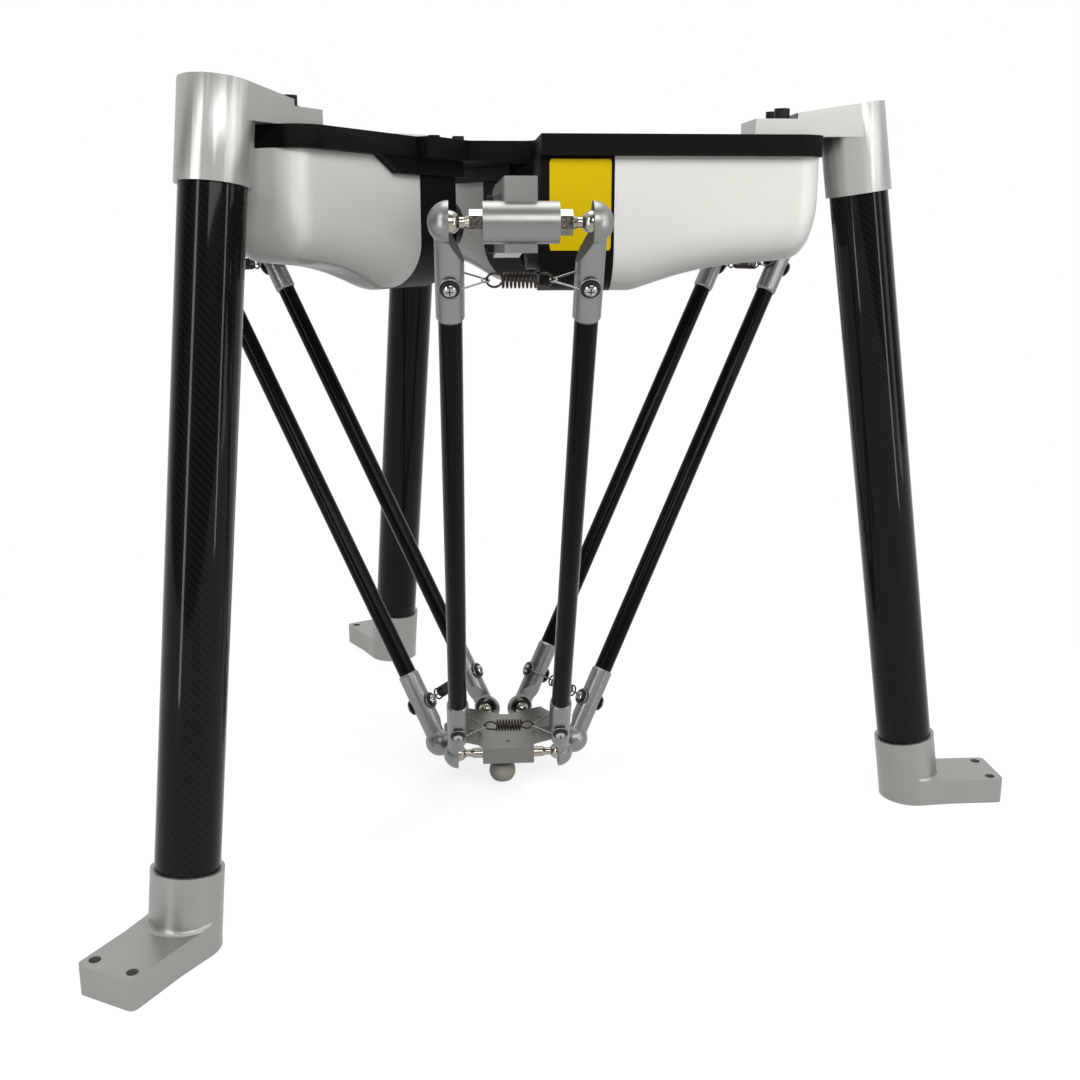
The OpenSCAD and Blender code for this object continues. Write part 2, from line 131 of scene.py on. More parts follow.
# finishes that need no setting: colours, and the range that noise values keep to
SCREW_BLACK = (0.02, 0.02, 0.022)
MOTOR_BLACK = (0.035, 0.035, 0.04)
# painted shade: this black on the cross recesses stands in for the shade inside them
RECESS_SHADE_BLACK = (0.012, 0.012, 0.012)
SPOOL_BLACK = (0.008, 0.008, 0.008)
BOLT_STEEL = (0.40, 0.40, 0.40)
WIRE_STEEL = (0.20, 0.20, 0.19)
OILED_STEEL = (0.045, 0.034, 0.03)
NOISE_LOW = 0.3
NOISE_HIGH = 0.7
# floor: half width, depth below the soles, matt tone and glow seen directly, matt tone for other
# rays, and the distances from the axis between which its shadow fades into plain white
FLOOR_HALF = 6.0
FLOOR_DROP = 0.0004
FLOOR_MATT = (0.30, 0.30, 0.30, 1)
FLOOR_GLOW = 0.80
FLOOR_BOUNCE = (0.12, 0.12, 0.12, 1)
FADE_START = 0.55
FADE_END = 1.0
# room: its light on matt surfaces; for the metal, the headings between which it goes from dim to
# white, the dim side's brightness, and how much height counts as the white side
ROOM_WHITE = (1, 1, 1, 1)
ROOM_LIGHT = 0.13
DIM_START = -0.1
DIM_END = 0.6
DIM_LIGHT = 0.04
CEILING_PULL = 0.7
# camera: sensor and lens in millimetres, place, tilt below the horizon, turn about the vertical
SENSOR = 36.0
LENS = 41.745
CAMERA_PLACE = (-0.0452, -1.1861, 0.5376)
CAMERA_TILT = math.radians(13.87)
CAMERA_TURN = math.radians(-3.84)
# soft lamps: name, place, aim, width and height, watts, colour
LAMPS = (
    ("key_softbox", (0.45, -1.85, 1.3), (0, 0, 0.45), (1.4, 0.7), 21.0, (1.0, 0.99, 0.97)),
    ("side_softbox", (2.0, -0.7, 1.0), (0, 0, 0.4), (0.5, 1.8), 9.0, (0.97, 0.98, 1.0)),
    ("top_softbox", (0.1, 0.4, 2.4), (0, 0, 0.3), (1.6, 1.6), 30.0, (1.0, 1.0, 1.0)),
    ("left_strip", (-0.95, -1.15, 0.75), (-0.24, -0.26, 0.45), (0.16, 1.4), 9.0, (1.0, 1.0, 1.0)),
    ("right_strip", (1.3, -1.1, 0.75), (0.1, -0.1, 0.45), (0.16, 1.4), 8.0, (1.0, 1.0, 1.0)),
)


# ---------------------------------------------------------------- properties
def length(name, description, default, low, high):
    """A size in metres for the property panels."""
    return FloatProperty(
        name=name, description=description, default=default,
        min=low, max=high, precision=4, unit="LENGTH",
    )


def colour(name, description, default):
    """A finish colour for the property panels."""
    return FloatVectorProperty(
        name=name, description=description, default=default,
        size=3, min=0.0, max=1.0, subtype="COLOR",
    )


class DeltaRobotSizes(bpy.types.PropertyGroup):
    """Sizes of the pieces made here."""

    leg_radius: length("Leg tube radius", "Outside radius of the leg tubes", 0.025, 0.02, 0.03)
    leg_wall: length("Leg tube wall", "Wall of the leg tubes", 0.0025, 0.001, 0.005)
    sleeve_wall: length("Sleeve wall", "Wall of a foot's sleeve", 0.003, 0.002, 0.006)
    foot_flange: length("Foot flange", "Thickness of a foot's flange", 0.024, 0.016, 0.032)
    seam: length("Seam radius", "Radius of the seam between sleeve and flange", 0.004, 0.001, 0.008)
    rod_radius: length("Rod radius", "Outside radius of the carbon rods", 0.0087, 0.006, 0.012)
    rod_wall: length("Rod wall", "Wall of the carbon rods", 0.0015, 0.0005, 0.003)
    tow: length("Tow width", "Width of one strand of the carbon weave", 0.0016, 0.0005, 0.004)
    coil_radius: length("Coil radius", "Mean radius of the springs", 0.005, 0.003, 0.007)
    coil_half: length("Coil half length", "Half length of the wound body", 0.0125, 0.008, 0.02)
    hook_radius: length("Hook radius", "Mean radius of the end hooks", 0.0054, 0.003, 0.007)
    spring_wire: length("Spring wire radius", "Radius of the spring wire", 0.00085, 0.0004, 0.0012)
    belly: length("Belly", "Length of the deep part of a cover", 0.016, 0.01, 0.03)
    sweep: length("Sweep", "Length of the sweep up to the shallow part", 0.111, 0.08, 0.12)
    sweep_rise: length("Sweep rise", "Rise of the sweep", 0.024, 0.015, 0.028)
    end_reach: length("End corner", "Reach of the lower end corner", 0.027, 0.015, 0.03)
    plan_corner: length("Plan corner", "Plan radius of a cover's outer corners", 0.022, 0.016, 0.028)
    edge_round: length("Edge round", "Radius along the shallow part's lower edges", 0.031, 0.02, 0.035)
    cover_gap: length("Cover gap", "Groove between gear housing and cover", 0.0006, 0.0, 0.002)
    turns: IntProperty(
        name="Turns", description="Turns of each spring body", default=9, min=4, max=16,
    )


class DeltaRobotColours(bpy.types.PropertyGroup):
    """Colours of the finishes."""

    # the gear housings take a darker copy of this black as painted shade
    plate_black: colour("Plate black", "Top plate and gear housings", (0.005, 0.005, 0.0045))
    cover_grey: colour("Cover grey", "Motor covers", (0.74, 0.73, 0.69))
    cast_silver: colour("Bead-blasted silver", "Leg brackets", (0.43, 0.43, 0.412))
    # painted shade: the feet take a darker copy of the brackets' bead-blasted silver, for the weaker light
    # down by the floor
    shaded_foot_silver: colour("Foot silver", "Feet", (0.31, 0.31, 0.295))
    turned_silver: colour("Turned silver", "Arms, cross shafts and rod ends", (0.24, 0.247, 0.236))
    deck_silver: colour("Milled silver", "Moving platform", (0.185, 0.183, 0.168))
    stud_steel: colour("Stud steel", "Ball studs", (0.34, 0.315, 0.28))
    carbon_black: colour("Carbon black", "Carbon tubes", (0.003, 0.003, 0.0027))
    patch_yellow: colour("Patch yellow", "Blank patch on the front housing", (0.66, 0.47, 0.0))
    knob_grey: colour("Knob grey", "Tool knob", (0.32, 0.30, 0.27))


# ------------------------------------------------------------------ finishes
class Net:
    """A node tree being put together."""

    def __init__(self, tree):
        self.nodes = tree.nodes
        self.links = tree.links

    def feed(self, node, key, value):
        """Fills one input of a node, by index or by name, by value or by link."""
        socket = node.inputs[key]
        if isinstance(value, bpy.types.NodeSocket):
            self.links.new(value, socket)
        else:
            socket.default_value = value

    def add(self, kind, **inputs):
        """Adds a node and fills its named inputs; underscores stand for spaces."""
        node = self.nodes.new(kind)
        for key, value in inputs.items():
            self.feed(node, key.replace("_", " "), value)
        return node

    def join(self, kind, *inputs):
        """Adds a node, fills its inputs in order and gives its first output."""
        node = self.nodes.new(kind)
        for index, value in enumerate(inputs):
            self.feed(node, index, value)
        return node.outputs[0]

    def math(self, operation, first, second=0.0, third=0.0):
        """A Math node's output."""
        node = self.nodes.new("ShaderNodeMath")
        node.operation = operation
        for index, value in enumerate((first, second, third)):
            self.feed(node, index, value)
        return node.outputs[0]

    def place(self, kind):
        """A texture coordinate."""
        return self.nodes.new("ShaderNodeTexCoord").outputs[kind]

    def ramp(self, value, start, end, low=0.0, high=1.0, curve="LINEAR"):
        """Maps one range onto another."""
        node = self.add(
            "ShaderNodeMapRange", Value=value, From_Min=start, From_Max=end, To_Min=low, To_Max=high)
        node.interpolation_type = curve
        return node.outputs["Result"]

    def direct_rays(self):
        """1 for camera, glossy and transmission rays."""
        path = self.nodes.new("ShaderNodeLightPath").outputs
        most = path["Is Camera Ray"]
        for name in ("Is Glossy Ray", "Is Transmission Ray"):
            most = self.math("MAXIMUM", most, path[name])
        return most


class Finish(Net):
    """A procedural material being put together."""

    def __init__(self, name):
        self.material = bpy.data.materials.new(name)
        self.material.use_nodes = True
        super().__init__(self.material.node_tree)
        self.shader = self.nodes["Principled BSDF"]

    def set(self, **values):
        """Sets the shader's own sockets; underscores stand for spaces."""
        for key, value in values.items():
            self.shader.inputs[key.replace("_", " ")].default_value = value
        return self

    def noise(self, scale, detail=2.0):
        """A noise value laid out in the piece's own metres."""
        node = self.add("ShaderNodeTexNoise", Vector=self.place("Object"), Scale=scale, Detail=detail)
        return node.outputs["Fac"]

    def between(self, value, low, high):
        """Spreads a noise value over a range."""
        return self.ramp(value, NOISE_LOW, NOISE_HIGH, low, high)

    def tint(self, value, dark, light):
        """Mixes two colours by a value."""
        node = self.nodes.new("ShaderNodeMix")
        node.data_type = "RGBA"
        self.feed(node, 0, value)
        self.feed(node, 6, (*dark, 1.0))
        self.feed(node, 7, (*light, 1.0))
        return node.outputs[2]

    def to(self, key, value):
        """Links a value into the shader."""
        self.links.new(value, self.shader.inputs[key])
        return self

    def bump(self, value, strength, distance):
        """Raises the surface by a value."""
        node = self.add("ShaderNodeBump", Height=value, Strength=strength, Distance=distance)
        return self.to("Normal", node.outputs["Normal"])


def shade(base, factor):
    """A colour made lighter or darker."""
    return tuple(min(1.0, c * factor) for c in base)


def powder_black(name, base, rough=0.36):
    """Matt black powder coat or oxide."""
    finish = Finish(name).set(Specular_IOR_Level=0.05)
    grain = finish.noise(scale=260.0)
    finish.to("Base Color", finish.tint(grain, shade(base, 0.85), shade(base, 1.2)))
    finish.to("Roughness", finish.between(grain, rough - 0.05, rough + 0.06))
    return finish.bump(finish.noise(scale=700.0), strength=0.12, distance=0.0002).material


def blasted_aluminium(name, base):
    """Cast aluminium, bead-blasted and anodised."""
    finish = Finish(name).set(Metallic=0.75)
    grain = finish.noise(scale=1500.0, detail=3.0)
    cloud = finish.noise(scale=14.0)
    finish.to("Base Color", finish.tint(cloud, shade(base, 0.95), shade(base, 1.05)))
    finish.to("Roughness", finish.between(grain, 0.33, 0.42))
    return finish.bump(grain, strength=0.05, distance=0.0001).material


def turned_aluminium(name, base):
    """Machined aluminium with a satin face."""
    finish = Finish(name).set(Metallic=0.85)
    cloud = finish.noise(scale=40.0)
    finish.to("Base Color", finish.tint(cloud, shade(base, 0.96), shade(base, 1.04)))
    finish.to("Roughness", finish.between(finish.noise(scale=60.0), 0.34, 0.38))
    return finish.bump(finish.noise(scale=1200.0), strength=0.004, distance=0.0001).material


def cover_paint(name, base):
    """Pale moulded shell with a thin gloss."""
    finish = Finish(name).set(Coat_Weight=0.25, Coat_Roughness=0.12)
    cloud = finish.noise(scale=6.0)
    finish.to("Base Color", finish.tint(cloud, shade(base, 0.985), shade(base, 1.015)))
    finish.to("Roughness", finish.between(finish.noise(scale=300.0), 0.36, 0.44))
    return finish.bump(finish.noise(scale=420.0), strength=0.03, distance=0.0002).material


def polished_steel(name, base, rough=0.2):
    """Bright or oiled steel."""
    finish = Finish(name).set(Metallic=1.0)
    cloud = finish.noise(scale=120.0)
    finish.to("Base Color", finish.tint(cloud, shade(base, 0.85), shade(base, 1.1)))
    finish.to("Roughness", finish.between(finish.noise(scale=600.0), rough - 0.05, rough + 0.08))
    return finish.material


def moulded_rubber(name, base, rough=0.55):
    """Matt rubber."""
    finish = Finish(name).set(Specular_IOR_Level=0.35)
    grain = finish.noise(scale=500.0)
    finish.to("Base Color", finish.tint(grain, shade(base, 0.88), shade(base, 1.1)))
    finish.to("Roughness", finish.between(grain, rough - 0.06, rough + 0.06))
    return finish.bump(grain, strength=0.1, distance=0.0002).material


def blank_film(name, base):
    """Coloured film without any print."""
    finish = Finish(name).set(Specular_IOR_Level=0.08)
    cloud = finish.noise(scale=30.0)
    finish.to("Base Color", finish.tint(cloud, shade(base, 0.97), shade(base, 1.03)))
    finish.to("Roughness", finish.between(cloud, 0.34, 0.4))
    return finish.material


def carbon_weave(name, base, tow, lacquer, contrast):
    """Two-over-two twill under clear lacquer, laid out by the tube's own unrolled metres."""
    finish = Finish(name).set(Coat_Weight=1.0, Coat_Roughness=0.06, Coat_IOR=lacquer)
    finish.set(Specular_IOR_Level=0.03)
    unrolled = finish.add("ShaderNodeSeparateXYZ", Vector=finish.place("UV"))
    across = finish.math("MULTIPLY", unrolled.outputs[0], 1.0 / tow)
    along = finish.math("MULTIPLY", unrolled.outputs[1], 1.0 / tow)
    step = finish.math("ADD", finish.math("FLOOR", across), finish.math("FLOOR", along))
    # the pattern repeats after four tows, two over and two under
    over = finish.math("LESS_THAN", finish.math("WRAP", step, 4.0, 0.0), 1.5)
    crown = finish.nodes.new("ShaderNodeMix")
    finish.feed(crown, 0, over)
    finish.feed(crown, 2, finish.math("PINGPONG", across, 0.5))
    finish.feed(crown, 3, finish.math("PINGPONG", along, 0.5))
    finish.to("Base Color", finish.tint(over, base, shade(base, contrast)))
    finish.to("Roughness", finish.between(over, 0.34, 0.52))
    return finish.bump(crown.outputs[0], strength=0.25, distance=0.0002).material


def paint(nodes, material):
    """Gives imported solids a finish."""
    for name in nodes:
        for slot in frame["nodes"][name].material_slots:
            slot.material = material


def round_edges(piece, width):
    """Breaks the sharp edges of one piece by a small round."""
    piece.modifiers.new("join_points", "WELD").merge_threshold = JOIN_GAP
    edge = piece.modifiers.new("broken_edges", "BEVEL")
    edge.width = width
    edge.segments = 2
    edge.limit_method = "ANGLE"
    edge.angle_limit = BREAK_ANGLE
    edge.harden_normals = True


def soften(nodes, width):
    """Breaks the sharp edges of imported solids."""
    for name in nodes:
        round_edges(frame["nodes"][name], width)


def crease(piece):
    """Keeps sharp edges crisp on a smooth piece."""
    piece.data.set_sharp_from_angle(angle=CREASE_ANGLE)


def each(name):
    """The three nodes of one kind."""
    return [f"{name}_{side}" for side in SIDES]


def corners(name):
    """Low and high corner of a node's box."""
    return [Vector(corner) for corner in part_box(name)]


# --------------------------------------------------------------------- shape
def turned(side):
    """The turn that carries set 1 onto another set."""
    return Matrix.Rotation(math.radians(120 * (side - 1)), 4, "Z")


def leg_line(side):
    """Ends of a leg tube's centre line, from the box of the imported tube."""
    low, high = corners("leg_tube_1")
    radius = bpy.context.scene.delta_sizes.leg_radius
    y = (low.y + high.y) / 2
    # the first tube leans only along X, so its box gives both ends; the lean is found by repetition
    width, height = high.x - low.x, high.z - low.z
    lean = 0.0
    for _ in range(20):
        run = (height - 2 * radius * math.sin(lean)) * math.tan(lean)
        lean += (width - 2 * radius * math.cos(lean) - run) / height
    dx, dz = radius * math.cos(lean), radius * math.sin(lean)
    bottom = Vector((high.x - dx, y, low.z + dz))
    top = Vector((low.x + dx, y, high.z - dz))
    return turned(side) @ bottom, turned(side) @ top


def forearm_place(side):
    """Frame of a rod pair, its origin on the upper ball line and -Z down the rods, and its length."""
    low = Vector((0, -LOW_BALL_RADIUS, LOW_BALL_HEIGHT))
    down = low - BALL_LINE
    lean = math.atan2(down.y, -down.z)
    return turned(side) @ Matrix.Translation(BALL_LINE) @ Matrix.Rotation(lean, 4, "X"), down.length


def mesh_piece(name, points, faces, material=None, uvs=None, smooth=True):
    """A mesh object in the shared frame; uvs hold one pair per face corner."""
    mesh = bpy.data.meshes.new(name)
    mesh.from_pydata([tuple(p) for p in points], [], faces)
    if uvs:
        layer = mesh.uv_layers.new(name="unrolled")
        flat = [value for face in uvs for corner in face for value in corner]
        layer.data.foreach_set("uv", flat)
    if material:
        mesh.materials.append(material)
    for polygon in mesh.polygons:
        polygon.use_smooth = smooth
    mesh.validate()
    piece = bpy.data.objects.new(name, mesh)
    bpy.context.scene.collection.objects.link(piece)
    return piece


class Shape:
    """Points, faces and unrolled metres collected for one piece."""

    def __init__(self):
        self.points, self.faces, self.uvs = [], [], []

    def ring(self, points):
        """Adds points and gives their numbers."""
        start = len(self.points)
        self.points += points
        return list(range(start, len(self.points)))

    def band(self, first, second, closed=True, u=None, v=(0.0, 0.0)):
        """Quads between two rings of equal length."""
        count = len(first)
        for i in range(count if closed else count - 1):
            j = (i + 1) % count
            self.faces.append((first[i], first[j], second[j], second[i]))
            u0, u1 = (u[i], u[i + 1]) if u else (0.0, 0.0)
            self.uvs.append(((u0, v[0]), (u1, v[0]), (u1, v[1]), (u0, v[1])))

    def cap(self, ring):
        """Closes a ring with one face."""
        self.faces.append(tuple(ring))
        self.uvs.append(tuple((0.0, 0.0) for _ in ring))


def add_tube(shape, start, end, outer, inner, around, along):
    """A hollow tube between two points."""
    axis = (end - start).normalized()
    side = axis.cross(Vector((0, 0, 1)))
    side = Vector((1, 0, 0)) if side.length < 1e-6 else side.normalized()
    other = axis.cross(side)
    whole = (end - start).length
    angles = [2 * math.pi * i / around for i in range(around)]

    def circle(radius, distance):
        centre = start + axis * distance
        return shape.ring([centre + (side * math.cos(a) + other * math.sin(a)) * radius for a in angles])

    unrolled = [outer * 2 * math.pi * i / around for i in range(around + 1)]
    rows = [whole * i / along for i in range(along + 1)]
    outside = [circle(outer, d) for d in rows]
    for i in range(along):
        shape.band(outside[i], outside[i + 1], u=unrolled, v=(rows[i], rows[i + 1]))
    first, last = circle(inner, 0.0), circle(inner, whole)
    shape.band(last, first)
    shape.band(first, outside[0])
    shape.band(outside[-1], last)


def add_wire(shape, path, radius, around):
    """A round wire swept along a path without twist, with closed ends."""
    tangent = (path[1] - path[0]).normalized()
    side = tangent.orthogonal().normalized()
    previous = None
    for i, point in enumerate(path):
        ahead = path[min(i + 1, len(path) - 1)] - path[max(i - 1, 0)]
        turn = tangent.rotation_difference(ahead.normalized())
        tangent, side = ahead.normalized(), turn @ side
        side = (side - tangent * side.dot(tangent)).normalized()
        other = tangent.cross(side)
        ring = shape.ring([
            point + (side * math.cos(a) + other * math.sin(a)) * radius
            for a in (2 * math.pi * k / around for k in range(around))
        ])
        if previous:
            shape.band(previous, ring)
        else:
            shape.cap(ring[::-1])
        previous = ring
    shape.cap(previous)


def add_cross(shape, seat):
    """A cross recess on a screw head, as a dark cross of painted shade let into its face and standing just
    proud of it; the head faces +Y.
    """
    a, b = CROSS_HALF, CROSS_ARM
    outline = [(a, -a), (b, -a), (b, a), (a, a), (a, b), (-a, b),
               (-a, a), (-b, a), (-b, -a), (-a, -a), (-a, -b), (a, -b)]
    quads = [(0, 1, 2, 3), (3, 4, 5, 6), (6, 7, 8, 9), (9, 10, 11, 0), (0, 3, 6, 9)]
    low, high = (
        shape.ring([seat @ Vector((x, y, -z)) for x, z in outline]) for y in (-CROSS_DEPTH, CROSS_PROUD))
    shape.band(low, high)
    for quad in quads:
        shape.faces.append(tuple(high[i] for i in quad))
        shape.faces.append(tuple(low[i] for i in reversed(quad)))
        shape.uvs += [((0.0, 0.0),) * 4] * 2


def spring_path(sizes):
    """Centre line of a spring along X: hook, wound body, hook."""
    half, radius, hook = sizes.coil_half, sizes.coil_radius, sizes.hook_radius
    steps = sizes.turns * COIL_STEPS
    body = []
    for i in range(steps + 1):
        angle = math.pi / 2 + 2 * math.pi * i / COIL_STEPS
        body.append(Vector((
            -half + 2 * half * i / steps, radius * math.cos(angle), radius * math.sin(angle))))

    def loop(sign):
        points = []
        for i in range(COIL_STEPS + 1):
            angle = HOOK_START - HOOK_TURN * i / COIL_STEPS
            reach = half + hook - HOOK_LAP + hook * math.cos(angle)
            points.append(Vector((sign * reach, 0.0, hook * math.sin(angle))))
        return points

    return loop(-1)[::-1] + body[1:-1] + loop(1)


# ----------------------------------------------------------------- operators
class DELTA_OT_stand(bpy.types.Operator):
    """Paint the plate, brackets and screws and lay the carbon leg tubes"""

    bl_idname = "delta_robot.stand"
    bl_label = "Stand"

    def execute(self, context):
        sizes, tones = context.scene.delta_sizes, context.scene.delta_colours
        paint(["base_plate"], powder_black("plate_powder_black", tones.plate_black, rough=0.55))
        paint(each("leg_bracket"), blasted_aluminium("blasted_aluminium", tones.cast_silver))
        paint(["bracket_bolts"], powder_black("black_oxide_screws", SCREW_BLACK, rough=0.3))
        soften(["base_plate"] + each("leg_bracket"), WIDE_BREAK)
        weave = carbon_weave(
            "leg_carbon_weave", tones.carbon_black, sizes.tow, lacquer=1.2, contrast=2.0)
        inner = sizes.leg_radius - sizes.leg_wall
        for side in SIDES:
            start, end = leg_line(side)
            shape = Shape()
            add_tube(shape, start, end, sizes.leg_radius, inner, around=96, along=12)
            piece = mesh_piece(f"woven_leg_{side}", shape.points, shape.faces, weave, shape.uvs)
            crease(piece)
            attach(piece, "base")
            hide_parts(f"leg_tube_{side}")
        return {"FINISHED"}


def seam_cutter(side, sizes):
    """What stands over a foot's flange around its sleeve, less the small round seam."""
    start, end = leg_line(side)
    axis = (end - start).normalized()
    flat = Vector((axis.x, axis.y, 0)).normalized()
    across = Vector((0, 0, 1)).cross(flat)
    around, steps = 128, 8
    low = sizes.foot_flange - FLANGE_BITE
    radius = sizes.leg_radius + sizes.sleeve_wall - SLEEVE_BITE
    shape = Shape()

    def level_ring(height, reach):
        centre = start + axis * ((height - start.z) / axis.z)
        angles = [2 * math.pi * i / around for i in range(around)]
        return shape.ring([
            centre + flat * (reach / axis.z * math.cos(a)) + across * (reach * math.sin(a)) for a in angles
        ])

    rings = []
    for i in range(steps + 1):
        angle = math.radians(90 * i / steps)
        height = low + sizes.seam * (1 - math.cos(angle))
        rings.append(level_ring(height, radius + sizes.seam * (1 - math.sin(angle))))
    for height, reach in ((CUTTER_TOP, radius), (CUTTER_TOP, CUTTER_REACH), (low, CUTTER_REACH)):
        rings.append(level_ring(height, reach))
    for first, second in zip(rings, rings[1:] + rings[:1]):
        shape.band(second, first)
    return shape


class DELTA_OT_feet(bpy.types.Operator):
    """Cast the three feet with a small round seam between sleeve and flange"""

    bl_idname = "delta_robot.feet"
    bl_label = "Feet"

    def execute(self, context):
        sizes, tones = context.scene.delta_sizes, context.scene.delta_colours
        # painted shade: the feet's silver is a darker copy of the brackets' cast silver, for the weaker
        # light they get
        silver = blasted_aluminium("shaded_foot_aluminium", tones.shaded_foot_silver)
        for side in SIDES:
            piece = bpy.data.objects.new(f"cast_foot_{side}", self.cast(context, side, sizes))
            context.scene.collection.objects.link(piece)
            piece.data.materials.clear()
            piece.data.materials.append(silver)
            for polygon in piece.data.polygons:
                polygon.use_smooth = True
                polygon.material_index = 0
            crease(piece)
            round_edges(piece, WIDE_BREAK)
            piece.modifiers["broken_edges"].harden_normals = False
            piece.modifiers.new("level_faces", "WEIGHTED_NORMAL").keep_sharp = True
            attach(piece, "base")
            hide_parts(f"foot_{side}")
        return {"FINISHED"}

    def cast(self, context, side, sizes):
        """Mesh of a foot, cut down to its small seam."""
        objects = context.scene.collection.objects
        blank = bpy.data.objects.new(f"foot_blank_{side}", frame["nodes"][f"foot_{side}"].data.copy())
        objects.link(blank)
        shape = seam_cutter(side, sizes)
        cutter = mesh_piece(f"seam_cutter_{side}", shape.points, shape.faces)
        blank.modifiers.new("join_points", "WELD").merge_threshold = JOIN_GAP
        cut = blank.modifiers.new("cut_seam", "BOOLEAN")
        cut.operation, cut.solver, cut.object = "DIFFERENCE", "EXACT", cutter
        mesh = bpy.data.meshes.new_from_object(blank.evaluated_get(context.evaluated_depsgraph_get()))
        if "custom_normal" in mesh.attributes:
            mesh.attributes.remove(mesh.attributes["custom_normal"])
        for helper in (blank, cutter):
            bpy.data.objects.remove(helper)
        return mesh


class DELTA_OT_housings(bpy.types.Operator):
    """Paint the gear housings, their flanges and the motors"""

    bl_idname = "delta_robot.housings"
    bl_label = "Motor housings"

    def execute(self, context):
        tones = context.scene.delta_colours
        # painted shade: the housings take the plate black darkened to 0.8 of it, for the shade under the
        # plate
        black = powder_black("shaded_housing_black", shade(tones.plate_black, 0.8), rough=0.45)
        paint(each("gear_housing"), black)
        dark = powder_black("motor_dark_grey", MOTOR_BLACK, rough=0.4)
        paint(each("motor") + each("gear_flange"), dark)
        return {"FINISHED"}


def cover_floor(x, sizes):
    """Height of a cover's underside at x: belly, sweep, then a rounded end."""
    low, high = corners("motor_cover_1")
    start = Vector((low.x + sizes.belly, low.z))
    finish = start + Vector((sizes.sweep, sizes.sweep_rise))
    if x <= start.x:
        return low.z
    bend = high.x - sizes.end_reach
    if x >= finish.x:
        rise = finish.y + SHALLOW_RISE * min(1.0, (x - finish.x) / (bend - finish.x))
        past = max(0.0, x - bend) / sizes.end_reach
        return rise + END_HEIGHT * sizes.end_reach * (1 - math.sqrt(max(0.0, 1 - past * past)))
    # the sweep is a cubic curve, and halving finds its point at x
    pull = start + Vector((SWEEP_LEAVE * sizes.sweep, 0))
    ease = start + Vector((SWEEP_LEVEL * sizes.sweep, sizes.sweep_rise - LEVEL_DROP))
    near, far = 0.0, 1.0
    for _ in range(40):
        t = (near + far) / 2
        s = 1 - t
        spot = start * s**3 + pull * 3 * t * s**2 + ease * 3 * t * t * s + finish * t**3
        near, far = (t, far) if spot.x < x else (near, t)
    return spot.y


def cover_section(x, sizes):
    """Half outline of a cover at one station, from its top edge round to the keel."""
    low, high = corners("motor_cover_1")
    full = (high.y - low.y) / 2
    past = max(0.0, x - high.x + sizes.plan_corner)
    half = full - sizes.plan_corner + math.sqrt(max(0.0, sizes.plan_corner**2 - past**2))
    keel = cover_floor(x, sizes)
    shallow = min(1.0, (keel - low.z) / sizes.sweep_rise)
    bend = min(half - LEAST_FLAT, full + (sizes.edge_round - full) * shallow)
    sides, steps = 8, 20
    outline = [(-half, high.z + (keel + bend - high.z) * i / sides) for i in range(sides)]
    for i in range(steps + 1):
        angle = math.radians(90 * i / steps)
        outline.append((-half + bend - bend * math.cos(angle), keel + bend - bend * math.sin(angle)))
    return outline


class DELTA_OT_covers(bpy.types.Operator):
    """Mould the three smooth motor covers"""

    bl_idname = "delta_robot.covers"
    bl_label = "Motor covers"

    def execute(self, context):
        sizes, tones = context.scene.delta_sizes, context.scene.delta_colours
        low, high = corners("motor_cover_1")
        centre = (low.y + high.y) / 2
        joint = low.x + sizes.cover_gap
        bend = high.x - sizes.end_reach
        straight, round_end = 44, 20
        stations = [joint + (bend - joint) * i / straight for i in range(straight)]
        for i in range(round_end + 1):
            stations.append(bend + sizes.end_reach * math.sin(math.radians(90 * i / round_end)))
        paintwork = cover_paint("cover_paint", tones.cover_grey)
        for side in SIDES:
            shape, rings = Shape(), []
            for x in stations:
                half = cover_section(x, sizes)
                whole = half + [(-y, z) for y, z in reversed(half)]
                points = [turned(side) @ Vector((x, centre + y, z)) for y, z in whole]
                rings.append(shape.ring(points))
            for first, second in zip(rings, rings[1:]):
                shape.band(second, first)
            shape.cap(rings[0])
            shape.cap(rings[-1][::-1])
            piece = mesh_piece(f"moulded_cover_{side}", shape.points, shape.faces, paintwork)
            crease(piece)
            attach(piece, "base")
            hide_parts(f"motor_cover_{side}")
        return {"FINISHED"}


